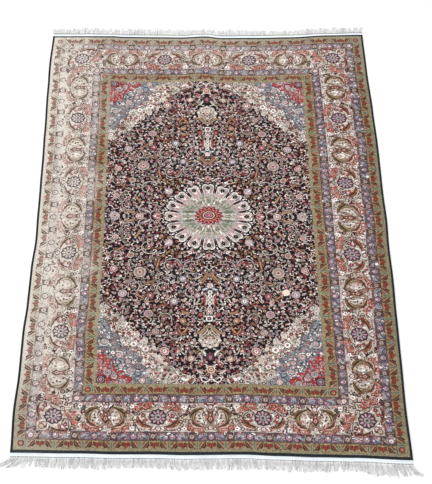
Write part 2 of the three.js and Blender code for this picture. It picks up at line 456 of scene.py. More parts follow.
def between_axes(cartoon):
    """The larger flowers, split leaves and scrolls between the axes."""
    for at, reach, start, direction in (
            ((62, 220), 31, 4.2, 1), ((128, 212), 35, 3.4, 1), ((208, 132), 33, 2.4, -1),
            ((280, 56), 29, 4.0, 1), ((150, 300), 27, 1.0, -1), ((256, 292), 25, 2.2, 1),
            ((150, 420), 26, 2.8, 1), ((72, 534), 25, 1.4, -1), ((60, 312), 25, 2.0, -1),
            ((108, 476), 24, 0.4, 1), ((322, 168), 25, 3.0, 1), ((222, 30), 24, 1.2, -1)):
        scroll = np.asarray(at) + spiral_line(reach, reach * 0.58, 0.66, start, direction, 4)
        cartoon.stroke(scroll, 7.4, "ink", 5.6)
        cartoon.stroke(scroll, 4.0, "blush" if direction > 0 else "ivory", 2.0)
        cartoon.rosette(at, 9, 6, "rose", "wine", "pink", "white")
    cartoon.palmette((136, 112), 23, math.atan2(112, 136), "lilac", "blush", "pink", "white")
    cartoon.palmette((176, 0), 21, 0.0, "rose", "pink", "crimson", "white")
    for side in (1, -1):
        cartoon.leaf((198, 8 * side), (234, 30 * side), 5 * side, 8, "grey", "ink", "white")
        cartoon.leaf((248, 6 * side), (300, 22 * side), 7 * side, 9, "tan", "ink", "rust")
    cartoon.rosette((240, 0), 14, 8, "cream", "rose", "white", "crimson")
    cartoon.rosette((326, 0), 19, 9, "blush", "grey", "pink", "wine")
    for start, end, bend, width, yarn, vein in (
            ((164, 170), (224, 188), 5, 9, "khaki", "brown"), ((164, 170), (176, 240), -5, 9, "rust", "tan"),
            ((176, 262), (224, 284), 6, 9, "rust", "tan"), ((178, 262), (190, 304), -5, 8, "khaki", "brown"),
            ((70, 446), (106, 484), 8, 9, "orange", "gold"), ((104, 448), (78, 486), -7, 8, "rust", "tan"),
            ((286, 120), (332, 152), 7, 9, "rust", "tan"), ((290, 118), (300, 70), 6, 9, "khaki", "brown"),
            ((60, 398), (96, 386), 6, 8, "tan", "rust"), ((212, 350), (248, 330), -6, 9, "rust", "tan"),
            ((26, 250), (60, 262), 4, 7, "cream", "rose"), ((240, 60), (262, 96), 5, 8, "tan", "rust")):
        cartoon.leaf(start, end, bend, width, yarn, "ink", vein, 2)
    for at, radius, petals, edge, petal, heart, eye in (
            ((233, 238), 23, 10, "blush", "fawn", "pink", "wine"),
            ((148, 545), 17, 8, "pink", "rose", "white", "wine"),
            ((88, 428), 11, 6, "tan", "orange", "cream", "wine"),
            ((288, 322), 16, 8, "blush", "lilac", "cream", "crimson"),
            ((116, 352), 15, 8, "lilac", "grey", "white", "wine"),
            ((200, 400), 16, 9, "blush", "rose", "lilac", "wine"),
            ((322, 224), 14, 7, "pink", "rose", "cream", "navy"),
            ((196, 330), 12, 7, "rose", "crimson", "pink", "cream"),
            ((62, 574), 12, 7, "pink", "tan", "white", "wine"),
            ((112, 620), 13, 7, "blush", "grey", "rose", "wine"),
            ((268, 168), 13, 7, "ivory", "fawn", "rose", "ink"),
            ((90, 262), 13, 7, "lilac", "grey", "white", "crimson"),
            ((324, 92), 12, 7, "cream", "rose", "pink", "wine"),
            ((40, 330), 11, 6, "rose", "lilac", "white", "wine"),
            ((176, 470), 13, 7, "blush", "fawn", "pink", "wine")):
        cartoon.shape(petalled(radius + 2.4, petals, 0.18), "ink", at)
        cartoon.rosette(at, radius, petals, edge, petal, heart, eye)


# The medallion

STREAKS = ("sage", "sage", "moss", "grey", "white", "cream",
           "blush", "pink", "moss", "ivory", "green", "fawn")
BLUSH_STREAKS = ("pink", "cream", "blush", "rose", "sage", "grey")
MEDALLION_STRETCH = (1.045, 0.99)
HEART_SQUASH = 0.84


def medallion(cartoon):
    """A round of sixteen flower heads about streaked rings and a red heart."""
    heads = 16
    round_of_heads = Cartoon()
    round_of_heads.shape(disc(136, 48), "ink")
    for k in range(heads):
        flower_head(round_of_heads, k * 2 * math.pi / heads)
        between = (k + 0.5) * 2 * math.pi / heads
        round_of_heads.leaf(polar(137, between), polar(150, between), 0, 6, "white", "ink")
        round_of_heads.leaf(polar(102, between), polar(128, between), 0, 6.5, "wine")
        round_of_heads.shape(disc(3.2, 5), "pink", polar(131, between))
    rays(round_of_heads, 98, "blush", 32, 80, 112, 7.6, BLUSH_STREAKS, ("rose", 102))
    rays(round_of_heads, 88, "sage", 48, 56, 98, 6.2, STREAKS, ("moss", 86))
    rays(round_of_heads, 72, "moss", 40, 42, 82, 5.4, STREAKS, ("green", 70))
    rays(round_of_heads, 54, "blush", 32, 38, 62, 5, STREAKS, None)
    along, up = MEDALLION_STRETCH
    cartoon.place(round_of_heads, (0, 0), (along, 0), (0, up))
    cartoon.place(medallion_heart(heads), (0, 0), (1, 0), (0, HEART_SQUASH))


def medallion_heart(petals):
    """The red flower in the medallion's middle."""
    heart = Cartoon()
    heart.shape(petalled(51, petals, 0.2), "wine")
    for k in range(petals):
        angle = k * 2 * math.pi / petals
        heart.leaf(polar(20, angle), polar(52, angle), 0, 10.5, "crimson" if k % 2 else "red", None, "coral")
        heart.shape(disc(3.4, 5), "pink", polar(44, angle + math.pi / petals))
        heart.shape(disc(3.0, 5), "tan", polar(29, angle + math.pi / petals))
        heart.shape(disc(2.4, 5), "pink", polar(37, angle))
    heart.shape(petalled(25, 12, 0.1), "crimson")
    heart.shape(disc(20, 16), "cream")
    heart.shape(disc(17, 14), "wine")
    heart.shape(petalled(14, 8, 0.2), "rose")
    heart.shape(disc(7, 8), "crimson")
    heart.shape(disc(3.5, 6), "pink")
    return heart


def rays(cartoon, radius, ground, count, inner, outer, width, yarns, dots):
    """A ring of slender petals round the medallion's middle, of yarns by turns, with dots between them."""
    stride = 5
    cartoon.shape(disc(radius, 48), ground)
    for k in range(count):
        angle = k * 2 * math.pi / count
        yarn = yarns[k * stride % len(yarns)]
        cartoon.leaf(polar(inner, angle), polar(outer * random.uniform(0.88, 1.0), angle), 0, width, yarn)
        if dots:
            dot_yarn, reach = dots
            between = angle + math.pi / count
            cartoon.shape(disc(2.6, 5), dot_yarn, polar(reach * random.uniform(0.93, 1.03), between))


def flower_head(cartoon, angle):
    """One pale flower head of the medallion's rim, open outwards."""
    out = polar(1.0, angle)
    across = np.array([-out[1], out[0]])

    def at(r, s):
        return out * r + across * s

    def shield(inner, wide, top, narrow, yarn):
        half = ((inner, narrow), (top - 12, wide), (top - 3, wide * 0.8), (top, wide * 0.42))
        rim = [at(r, -s) for r, s in half] + [at(top - 5, 0)] + [at(r, s) for r, s in half[::-1]]
        cartoon.shape(rim, yarn)

    shield(96, 26, 149, 17, "ink")
    shield(97, 21, 147, 14.5, "white")
    shield(97, 18.6, 143.5, 12.5, "blush")
    cartoon.leaf(at(96, 0), at(143, 0), 0, 25, "pink", "grey", None, 1.6)
    cartoon.leaf(at(102, 0), at(143, 0), 0, 13, "white", "fawn", None, 1.4)
    for side in (1, -1):
        fill = "white" if side > 0 else "grey"
        cartoon.leaf(at(112, 11 * side), at(139, 13.5 * side), 2 * side, 4.2, fill, "plum", None, 1.5)
        cartoon.shape(disc(3.2, 5), "rose", at(108, 9 * side))
        cartoon.shape(disc(2.2, 5), "green", at(134, 6.5 * side))
    cartoon.shape([at(115, 0), at(127, -8.6), at(139, 0), at(127, 8.6)], "ink")
    cartoon.shape(disc(2.2, 5), "moss", at(127, 0))


# The corner pieces of the field

# Reach of each zone from the field's corner, by the angle from the end's edge: (degrees, cream, grey, red)
CORNER_REACH = ((0, 312, 186, 112), (15, 248, 162, 100), (30, 225, 160, 92), (45, 220, 164, 86),
                (60, 230, 168, 92), (75, 272, 200, 104), (90, 302, 246, 116))
CORNER = np.array([FIELD_HALF_WIDTH, FIELD_HALF_LENGTH])


def corner_zone(column, lobes, depth, grow=0.0):
    """The outline of one zone of the corner piece, with its uneven lobes."""
    steps = lobes * 4
    share = np.arange(steps + 1) / steps
    degrees = 90 * share
    reach = read_table(CORNER_REACH, column, degrees) + grow
    uneven = share + 0.028 * np.sin(7.0 * share + column) * np.sin(math.pi * share)
    lobe = np.abs(np.sin(lobes * math.pi * uneven)) * (0.8 + 0.35 * np.sin(11 * share + 2 * column))
    edge = CORNER - polar(reach + depth * (lobe - 0.5), np.radians(degrees))
    return np.vstack([edge, CORNER + (40, 0), CORNER + (40, 40), CORNER + (0, 40)])


def corner_reach(x, y, column):
    """How far inside a zone a point lies, in millimetres towards the corner."""
    away = CORNER - np.array([x, y])
    degrees = math.degrees(math.atan2(max(away[1], 0.0), max(away[0], 1e-6)))
    return float(read_table(CORNER_REACH, column, degrees)) - float(np.linalg.norm(away))


def corner_piece(cartoon):
    """Three scalloped zones, cream, grey-blue and red, each packed with its own flowers."""
    for column, lobes, depth, rims, ground in ((1, 9, 20, (("ink", 4), ("white", 1.6)), "ivory"),
                                               (2, 7, 22, (("umber", 1.8),), "slate"),
                                               (3, 5, 20, (("wine", 1.8),), "red")):
        for yarn, grow in rims:
            cartoon.shape(corner_zone(column, lobes, depth, grow), yarn)
        cartoon.shape(corner_zone(column, lobes, depth), ground)
        corner_flowers(cartoon, column)
    cartoon.shape(CORNER - np.array([(2, 2), (30, 2), (30, 30), (2, 30)]), "wine")
    cartoon.rosette(CORNER - (15, 15), 12, 8, "lilac", "violet", "pink", "wine")


# The yarns of the corner's motifs, by zone
CORNER_FLOWERS = {
    1: ("white", "cream", "green", "white", "rose", "cream",
        "umber", "white", "rust", "sage", "cream", "crimson"),
    2: ("grey", "sky", "blush", "pink", "grey", "blush", "white", "sky", "rose", "grey", "lilac"),
    3: ("grey", "pink", "sage", "lilac", "coral", "rose", "grey", "coral", "pink", "blush", "dusk"),
}
CORNER_EYES = {
    1: ("green", "wine", "brown", "white", "crimson", "brown"),
    2: ("crimson", "navy", "white", "plum", "rose", "navy"),
    3: ("wine", "ink", "cream", "pink", "wine", "sky"),
}
CORNER_EDGES = {1: ("umber", None, "brown"), 2: (None, "navy"), 3: (None, "wine")}
# Smallest and largest motif and their pitch, by zone
CORNER_SIZES = {1: (4.8, 7.4, 12.6), 2: (4.6, 6.6, 11.8), 3: (4.4, 5.8, 11.4)}


def corner_flowers(cartoon, column):
    """Small motifs packed over one zone of the corner piece, and a few larger flowers and scrolls."""
    smallest, largest, pitch = CORNER_SIZES[column]

    def allowed(x, y):
        if corner_reach(x, y, column) < 0:
            return False
        return column == 3 or corner_reach(x, y, column + 1) < 4

    def draw(sheet, x, y):
        size = random.uniform(smallest, largest)
        edge = random.choice(CORNER_EDGES[column])
        small_motif(sheet, x, y, size, CORNER_FLOWERS[column], CORNER_EYES[column], edge)

    box = (0, FIELD_HALF_LENGTH - 330, FIELD_HALF_WIDTH + 5, FIELD_HALF_LENGTH + 5)
    pack(cartoon, box, pitch, draw, allowed)
    edge, petal, heart, stem = (("umber", "white", "rose", "green"), ("navy", "blush", "pink", "white"),
                                ("wine", "pink", "lilac", "wine"))[column - 1]
    for k in range(6):
        degrees = 5 + 80 * k / 5 + random.uniform(-5, 5)
        inner = float(read_table(CORNER_REACH, column + 1, degrees)) if column < 3 else 34
        outer = float(read_table(CORNER_REACH, column, degrees))
        place = CORNER - polar(inner + (outer - inner) * random.uniform(0.3, 0.7), math.radians(degrees))
        radius = min(random.uniform(7, 13), 0.27 * (outer - inner))
        if k % 2:
            curl = place + spiral_line(radius * 1.6, radius * 1.0, 0.7, degrees, 1 if k % 4 == 1 else -1, 4)
            cartoon.stroke(curl, 2.6, stem, 1.6)
        cartoon.shape(petalled(radius + 1.8, 7, 0.2), edge, place)
        inner_petal = random.choice(CORNER_FLOWERS[column])
        eye = random.choice(CORNER_EYES[column])
        cartoon.rosette(place, radius, 7, petal, inner_petal, heart, eye)


# The border's bands

def along_end(depth, inward=1):
    """Origin and axes of a unit whose middle line lies at a depth from the end's outer edge."""
    return (lambda s: (s, HALF_LENGTH - depth)), (1, 0), (0, -inward)


def along_side(depth, inward=1):
    return (lambda s: (HALF_WIDTH - depth, s)), (0, 1), (-inward, 0)


def run_units(cartoon, unit, pitch, depth, flip=1):
    """A unit repeated along both legs of a band, from their middles to the corner."""
    width = 30.0
    for leg, half in ((along_end, HALF_WIDTH), (along_side, HALF_LENGTH)):
        origin, along, inward = leg(depth, flip)
        room = half - depth - width / 2
        count = round(room / pitch - 0.5)
        stretch = room / ((count + 0.5) * pitch)
        for k in range(count + 1):
            cartoon.place(unit, origin(k * pitch * stretch), np.multiply(along, stretch), inward)


def pack_band(cartoon, band, pitch, draw):
    """Calls draw at packed places over both legs of a band of the border."""
    def allowed(x, y):
        depth = min(HALF_WIDTH - x, HALF_LENGTH - y)
        return band[0] + 3 < depth < band[1] - 2

    end_box = (0, HALF_LENGTH - band[1], HALF_WIDTH - band[0], HALF_LENGTH - band[0])
    side_box = (HALF_WIDTH - band[1], 0, HALF_WIDTH - band[0], HALF_LENGTH - band[1])
    for box in (end_box, side_box):
        pack(cartoon, box, pitch, draw, allowed)


def band_rectangle(depth):
    """The rectangle at a depth from the rug's outer edge, over the whole quarter."""
    width, length = HALF_WIDTH - depth, HALF_LENGTH - depth
    return stationed([(-20, -20), (width, -20), (width, length), (-20, length)])


GUARD_STRETCH = 1.18
GUARD_PITCH = 88
LILAC_PITCH = 116


def guard_unit():
    """Three red petals between two slanting leaves, and a green bud, on a guard band: 88 mm of it."""
    unit = Cartoon()
    for side in (1, -1):
        stem = [(3 * side, -11), (13 * side, -12), (24 * side, -9), (41 * side, -11)]
        unit.stroke(stem, 2.0, "olive", 1.2)
        unit.leaf((16 * side, -11), (36 * side, 10), 3.4 * side, 11.5, "brown", "tan", "rust", 1.4)
        unit.leaf((29 * side, -11), (40 * side, 0), 2 * side, 6.4, "rust")
        unit.leaf((15 * side, 1), (24 * side, 12), -2 * side, 5.4, "brown")
        unit.shape(petalled(7.8, 4, 0.3, 0.5, 2), "brown", (8.5 * side, -1))
        unit.shape(petalled(5.0, 4, 0.3, 0.5, 2), "flame", (8.5 * side, -1))
        unit.shape(disc(2.1, 5), "wine", (8.5 * side, -1))
        unit.leaf((44 * side, -10), (44 * side, 12), 0, 12, "moss", "olive", "green", 1.6)
        unit.shape(disc(2.2, 5), "brown", (36 * side, 10))
    unit.leaf((0, -11), (0, 12), 0, 10, "flame", "brown", "wine", 2.0)
    unit.shape(disc(3, 6), "gold", (0, -8))
    return unit


LILAC_FLOWERS = ("lilac", "blush", "white", "sky", "lilac", "rose", "slate", "pink", "grey", "plum", "blue")
LILAC_EYES = ("white", "navy", "wine", "violet", "navy", "crimson", "wine")


def lilac_fill(cartoon, band):
    """Fine flowers packed over one of the lilac bands."""
    def draw(sheet, x, y):
        small_motif(sheet, x, y, 6.2, LILAC_FLOWERS, LILAC_EYES)

    pack_band(cartoon, band, 14.4, draw)


def lilac_unit():
    """A lilac fan between grey leaves, and half the plum block at each end: 116 mm of a lilac band."""
    unit = Cartoon()
    for side in (1, -1):
        block = ((58, -14), (58, 14), (46, 14), (42, 7), (47, 0), (42, -7), (46, -14))
        unit.shape([(x * side, y) for x, y in block], "plum")
        unit.shape(petalled(9.5, 6, 0.25, 0.3, 2), "fawn", (58 * side, 0))
        unit.shape(disc(5.4, 7), "blush", (58 * side, 0))
        unit.shape(disc(2.6, 5), "wine", (58 * side, 0))
        for t in (1, -1):
            unit.leaf((46 * side, 13 * t), (47 * side, t), 2 * side, 4.2, "khaki")
        unit.leaf((40 * side, -7), (18 * side, 4), -4 * side, 5.6, "sky", "blue", None, 1.4)
        unit.leaf((36 * side, 9), (20 * side, 11), 2 * side, 5.4, "rose")
        unit.blossom((33 * side, 4), 4.6, "blush", "crimson")
        unit.blossom((24 * side, -8), 4.4, "lilac", "wine")
    unit.shape(petalled(13.6, 9, 0.2, 0.2, 2), "violet", (0, -1))
    unit.palmette((0, -3), 13.4, math.pi / 2, "lilac", "rose", "blush", "white")
    unit.shape(disc(2.4, 5), "wine", (0, -3))
    return unit


def spray(unit, points, width):
    """A feathery coral spray along a line."""
    line = curve_through(points, 2)
    normals = sideways_of(line)
    for i in range(len(line) - 1):
        way = line[min(i + 2, len(line) - 1)] - line[max(i - 1, 0)]
        way = way / np.linalg.norm(way)
        grow = width * (0.6 + 0.4 * math.sin(math.pi * (i + 0.5) / len(line)))
        for turn in (1, -1):
            tip = line[i] + normals[i] * turn * grow * 0.6 + way * grow * 0.55
            fill = "rust" if (i + (turn > 0)) % 3 == 0 else "coral"
            edge = "wine" if i % 2 else "brown"
            vein = None if i % 3 else "pink"
            unit.leaf(line[i], tip, 1.2 * turn, 8.4, fill, edge, vein, 1.4)
        unit.shape(disc(1.9, 5), "tan", line[i])


LENS_TICKS = ("brown", "umber", "tan", "rust", "white", "wine",
              "olive", "fawn", "brown", "coral", "white", "umber")


def ticks(unit, half_length, half_width, room):
    """Short curved strokes over a cartouche, clear of a room about its middle."""
    def allowed(x, y):
        return abs(x) > room and (x / half_length) ** 2 + (y / half_width) ** 2 < 0.82

    def draw(sheet, x, y):
        turn = random.uniform(0, 2 * math.pi)
        half = polar(random.uniform(5.0, 7.4), turn)
        at = np.array([x, y])
        bend = random.choice((-1.6, 1.6))
        width = random.uniform(4.4, 6.4)
        sheet.leaf(at - half, at + half, bend, width, random.choice(LENS_TICKS))

    pack(unit, (-half_length, -half_width, half_length, half_width), 11.4, draw, allowed)


def curl_knob(unit, at, radius, ring="brown", heart="pink"):
    unit.shape(disc(radius, 9), ring, at)
    unit.shape(disc(radius * 0.62, 7), heart, at)
    unit.shape(disc(radius * 0.28, 5), "wine", at)


def crescent(unit, points, width, fill, gloss):
    """A thick curved leaf with a dark outline, a pale inner edge and a row of beads."""
    line = curve_through(points, 2)
    t = np.linspace(0, 1, len(line))
    belly = np.sin(math.pi * (0.1 + 0.85 * t)) ** 0.7
    normals = sideways_of(line)

    def body(half_width, shift):
        half = np.maximum(half_width * belly, 0.6)[:, None] * normals
        middle = line + normals * shift * belly[:, None]
        return np.vstack([middle - half, (middle + half)[::-1]])

    for half_width, shift, yarn in ((width / 2 + 3.2, -0.8, "brown"), (width / 2 - 0.4, 2.2, "cream"),
                                    (width / 2 - 1.4, 0.0, fill)):
        unit.shape(body(half_width, shift), yarn)
    for i in range(1, len(line) - 1):
        yarn = gloss if i % 2 else "wine"
        unit.shape(disc(2.7 * belly[i], 4, 0.8, i), yarn, line[i] + normals[i] * 0.4)


MAIN_FLOWERS = ("wine", "crimson", "rose", "brown", "umber", "wine",
                "coral", "green", "ink", "brown", "white", "brown")
MAIN_EYES = ("white", "cream", "pink", "tan", "white", "wine")


def rosette_unit():
    """A violet rosette cupped by two rust leaves, with coral sprays on the inner side."""
    unit = Cartoon()
    unit.shape(leaf_outline((-69, 0), (69, 0), 0, 75, 8), "brown")
    unit.shape(leaf_outline((-66, 0), (66, 0), 0, 70, 8), "ivory")
    ticks(unit, 66, 35, 20)
    for side in (1, -1):
        spray(unit, [(76 * side, 22), (60 * side, 35), (40 * side, 41), (16 * side, 42)], 20)
        cup = [(66 * side, 2), (65 * side, -16), (50 * side, -31), (25 * side, -37)]
        crescent(unit, cup[::side], 13, "rust", "tan")
        curl = [(66 * side, 3), (60 * side, 17), (46 * side, 24), (33 * side, 18)]
        unit.stroke(curve_through(curl, 3), 4.6, "brown")
        gloss = [(66 * side, 3), (60 * side, 16), (46 * side, 23), (34 * side, 18)]
        unit.stroke(curve_through(gloss, 3), 1.8, "cream")
        curl_knob(unit, (71 * side, 12), 7, "ink")
        curl_knob(unit, (73 * side, -14), 7, "ink")
        unit.shape(petalled(9, 5, 0.3, 0.4, 2), "wine", (47 * side, 6))
        unit.blossom((47 * side, 6), 6.6, "crimson", "pink", 0.4)
        unit.leaf((34 * side, -3), (54 * side, -16), -4 * side, 7.5, "crimson", "wine", "coral", 1.3)
        unit.blossom((22 * side, -43), 6, "brown", "pink")
        unit.leaf((6 * side, -31), (19 * side, -47), 3 * side, 6, "white", "brown")
        unit.leaf((12 * side, 30), (28 * side, 22), 3 * side, 5, "tan", "brown")
    unit.shape(petalled(30, 10, 0.2, math.pi / 2), "ink")
    unit.shape(petalled(27, 10, 0.22, math.pi / 2), "violet")
    for k in range(10):
        angle = math.pi / 2 + k * 2 * math.pi / 10
        unit.leaf(polar(9, angle), polar(26, angle), 0, 8, "rose" if k % 2 else "lilac", None, "pink")
    unit.shape(petalled(13, 7, 0.2), "navy")
    unit.shape(petalled(11, 7, 0.2), "grey")
    unit.shape(petalled(5, 6, 0.25), "plum")
    unit.shape([(0, 29), (10, 38), (0, 48), (-10, 38)], "brown")
    unit.shape([(0, 32), (7, 38), (0, 45), (-7, 38)], "cream")
    unit.shape(disc(3.2, 5), "green", (0, 38.5))
    unit.rosette((0, -40), 10, 6, "wine", "pink", "white", "wine")
    return unit


def cream_unit():
    """A pale cartouche of two lobes between olive and tan leaves, with coral sprays on the outer side."""
    unit = Cartoon()
    unit.shape(leaf_outline((-72, 0), (72, 0), 0, 80, 8), "brown")
    unit.shape(leaf_outline((-69, 0), (69, 0), 0, 75, 8), "fawn")
    for side in (1, -1):
        unit.leaf((27 * side, -31), (31 * side, 30), -3 * side, 34, "ivory", "umber", None, 1.8)
        unit.leaf((22 * side, -22), (25 * side, 22), -3 * side, 10, "white", "tan", "cream", 1.4)
    ticks(unit, 62, 36, 9)
    for side in (1, -1):
        spray(unit, [(76 * side, -26), (60 * side, -38), (40 * side, -43), (14 * side, -43)], 19)
        unit.leaf((52 * side, -18), (38 * side, 25), -9 * side, 9, "olive", "brown", "tan", 1.6)
        upper = [(67 * side, -1), (65 * side, 15), (52 * side, 29), (25 * side, 37)]
        crescent(unit, upper[::-side], 11, "olive", "tan")
        lower = [(62 * side, -7), (58 * side, -21), (46 * side, -30), (28 * side, -34)]
        crescent(unit, lower[::side], 8, "rust", "tan")
        curl_knob(unit, (73 * side, 19), 8, "ink", "rose")
        curl_knob(unit, (67 * side, -25), 6, "brown", "pink")
        unit.leaf((64 * side, -4), (84 * side, 3), 2, 9.5, "cream", "brown", "khaki")
        unit.leaf((7 * side, 30), (24 * side, 47), 3 * side, 6, "white", "brown")
        unit.blossom((38 * side, 46), 5.5, "lilac", "wine")
        unit.blossom((58 * side, 43), 6.5, "grey", "crimson")
    unit.shape([(-11, 27), (0, 19), (11, 27), (6, 6), (12, -8), (0, -24), (-12, -8), (-6, 6)], "brown")
    unit.shape([(-7, 21), (0, 14), (7, 21), (3, 5), (8, -7), (0, -17), (-8, -7), (-3, 5)], "rust")
    unit.shape(disc(5.4, 8), "pink", (0, -5))
    unit.shape(disc(2.8, 6), "wine", (0, -5))
    unit.shape(disc(2.4, 5), "cream", (0, 9))
    unit.rosette((0, 37), 10, 6, "wine", "pink", "white", "crimson")
    unit.rosette((0, -35), 9, 6, "wine", "cream", "pink", "wine")
    return unit


def tie_unit():
    """The small flowers and curls between two cartouches."""
    unit = Cartoon()
    for side in (1, -1):
        unit.blossom((0, 38 * side), 9, "white", "crimson")
        unit.leaf((-4, 24 * side), (-13, 40 * side), 3 * side, 5, "green", "brown")
        unit.leaf((4, 24 * side), (13, 40 * side), -3 * side, 5, "sage", "brown")
        unit.blossom((11 * side, 20), 4, "rose", "white")
        unit.blossom((11 * side, -20), 4, "tan", "wine")
    unit.shape([(-10, 0), (0, -7), (10, 0), (0, 7)], "olive")
    unit.shape(disc(3, 6), "cream")
    return unit


def main_fill(cartoon):
    """Small flowers packed over the main band, under the cartouches."""
    def draw(sheet, x, y):
        small_motif(sheet, x, y, random.uniform(6.4, 9.4), MAIN_FLOWERS, MAIN_EYES)

    pack_band(cartoon, MAIN_BAND, 16.0, draw)


END_PITCH = 161.7
SIDE_PITCH = 158.0
UNIT_LENGTH = 168.0


def main_band(cartoon):
    """Cream and violet cartouches by turns, with a rosette turned across each corner."""
    depth = sum(MAIN_BAND) / 2
    units = (cream_unit(), rosette_unit())
    tie = tie_unit()
    main_fill(cartoon)
    for leg, pitch, count in ((along_end, END_PITCH, 3), (along_side, SIDE_PITCH, 5)):
        origin, along, inward = leg(depth)
        stretch = pitch / UNIT_LENGTH
        for k in range(count):
            cartoon.place(tie, origin((k + 0.5) * pitch), along, inward)
        for k in range(count):
            cartoon.place(units[k % 2], origin(k * pitch), np.multiply(along, stretch), inward)
    corner = (HALF_WIDTH - depth, HALF_LENGTH - depth)
    slant = math.sqrt(0.5)
    cartoon.place(units[1], corner, (slant, -slant), (-slant, -slant))
    cartoon.rosette(np.add(corner, 36), 11, 7, "brown", "gold", "cream", "crimson")
    for side in (1, -1):
        cartoon.blossom(np.add(corner, (36 + 20 * side, 36 - 20 * side)), 6, "coral", "wine")


def border_cartoon():
    cartoon = Cartoon()
    line, fine_line = 1.6, 1.4
    for depth, yarn in ((DARK_EDGE, "khaki"), (OUTER_GUARD[0], "straw"),
                        (OUTER_LILAC[0], "brown"), (OUTER_LILAC[0] + line, "dusk"),
                        (MAIN_BAND[0], "umber"), (MAIN_BAND[0] + line, "ivory")):
        cartoon.shape(band_rectangle(depth), yarn)
    main_band(cartoon)
    for depth, yarn in ((INNER_LILAC[0], "brown"), (INNER_LILAC[0] + fine_line, "dusk"),
                        (INNER_GUARD[0], "brown"), (INNER_GUARD[0] + line, "straw"),
                        (INNER_GUARD[1], "khaki")):
        cartoon.shape(band_rectangle(depth), yarn)
    guard, lilac = guard_unit(), lilac_unit()
    for band, flip in ((OUTER_GUARD, -1), (INNER_GUARD, 1)):
        middle = sum(band) / 2
        run_units(cartoon, guard, GUARD_PITCH, middle, flip * GUARD_STRETCH)
        cartoon.rosette((HALF_WIDTH - middle, HALF_LENGTH - middle), 11, 7, "brown", "red", "gold", "wine")
    for band in (OUTER_LILAC, INNER_LILAC):
        middle = sum(band) / 2
        lilac_fill(cartoon, band)
        run_units(cartoon, lilac, LILAC_PITCH, middle)
        cartoon.rosette((HALF_WIDTH - middle, HALF_LENGTH - middle), 12, 7, "plum", "pink", "white", "wine")
    return cartoon


def field_cartoon():
    cartoon = Cartoon()
    pack(cartoon, (0, 0, FIELD_HALF_WIDTH, FIELD_HALF_LENGTH), 12.9, field_motif, field_free)
    between_axes(cartoon)
    long_axis(cartoon)
    corner_piece(cartoon)
    medallion(cartoon)
    return cartoon


# From cartoon to cloth

def signed_area(points):
    x, y = points[:, 0], points[:, 1]
    return 0.5 * float(np.sum(x * np.roll(y, -1) - y * np.roll(x, -1)))


OUTSIDE = -1


def cut_quarter(outline, cartoon, ground, loose=()):
    """Cuts a quarter's outline along every shape: corners, triangles, and each triangle's yarn."""
    names = list(YARNS)
    points, faces, yarns = [], [], []
    for shape, yarn in [(np.asarray(outline, float), ground)] + cartoon.shapes:
        area = signed_area(shape)
        if abs(area) < 0.02:
            continue
        order = range(len(shape)) if area > 0 else range(len(shape) - 1, -1, -1)
        faces.append([len(points) + i for i in range(len(shape))])
        points.extend(Vector(shape[i]) for i in order)
        yarns.append(names.index(yarn))
    points.extend(Vector(p) for p in loose)
    corners, _, triangles, _, _, covers = delaunay_2d_cdt(points, [], faces, 0, 1e-3, True)
    worn = np.array([yarns[max(cover)] if 0 in cover else OUTSIDE for cover in covers])
    corners = np.array([tuple(c) for c in corners])
    triangles = np.array(triangles)
    if len(loose) == 0:
        corners, triangles, worn = without_hidden_edges(corners, triangles, worn)
    kept = worn != OUTSIDE
    return corners, triangles[kept], worn[kept]


def triangle_edges(triangles):
    """The first, second and third edges of all triangles, one after the other."""
    return np.vstack([triangles[:, [0, 1]], triangles[:, [1, 2]], triangles[:, [2, 0]]])


def without_hidden_edges(corners, triangles, yarns):
    """The same picture cut again along only the edges where two yarns meet."""
    count = len(triangles)
    edges = np.sort(triangle_edges(triangles), axis=1)
    owner = np.tile(np.arange(count), 3)
    key = edges[:, 0].astype(np.int64) * len(corners) + edges[:, 1]
    order = np.argsort(key, kind="stable")
    key, edges, owner = key[order], edges[order], owner[order]
    paired = key[:-1] == key[1:]
    seam = edges[:-1][paired & (yarns[owner[:-1]] != yarns[owner[1:]])]
    lone = np.ones(len(key), bool)
    lone[:-1] &= ~paired
    lone[1:] &= ~paired
    seam = np.vstack([seam, edges[lone]])
    used, seam = np.unique(seam, return_inverse=True)
    seam = seam.reshape(-1, 2)
    cut = delaunay_2d_cdt([Vector(c) for c in corners[used]], seam.tolist(), [], 0, 1e-4, False)
    new_corners = np.array([tuple(c) for c in cut[0]])
    new_triangles = np.array(cut[2])
    tree = BVHTree.FromPolygons([(x, y, 0.0) for x, y in corners], triangles.tolist())
    middles = new_corners[new_triangles].mean(axis=1)
    nearest = [tree.find_nearest((x, y, 0.0))[2] for x, y in middles.tolist()]
    return new_corners, new_triangles, yarns[nearest]


def mirror_half(corners, triangles, yarns, end):
    """A quarter and its mirror image at one end of the rug, welded along the long axis."""
    sheets, faces = [], []
    for k, side in enumerate((1, -1)):
        sheets.append(corners * (side, end))
        faces.append((triangles if side * end > 0 else triangles[:, ::-1]) + k * len(corners))
    sheet = np.round(np.vstack(sheets), 3) + 0.0
    unique, back = np.unique(sheet, axis=0, return_inverse=True)
    welded = back.reshape(-1)[np.vstack(faces)]
    yarns = np.tile(yarns, 2)
    whole = (welded[:, 0] != welded[:, 1]) & (welded[:, 1] != welded[:, 2]) & (welded[:, 2] != welded[:, 0])
    used, renumbered = np.unique(welded[whole], return_inverse=True)
    return unique[used], renumbered.reshape(-1, 3), yarns[whole]


def rim_edges(triangles):
    """The edges that only one triangle has, in that triangle's direction."""
    edges = triangle_edges(triangles)
    ordered = np.sort(edges, axis=1)
    key = ordered[:, 0].astype(np.int64) * (triangles.max() + 1) + ordered[:, 1]
    _, first, counts = np.unique(key, return_index=True, return_counts=True)
    return edges[first[counts == 1]]


def linear(display):
    display = np.asarray(display, float) / 255
    return np.where(display <= 0.04045, display / 12.92, ((display + 0.055) / 1.055) ** 2.4)


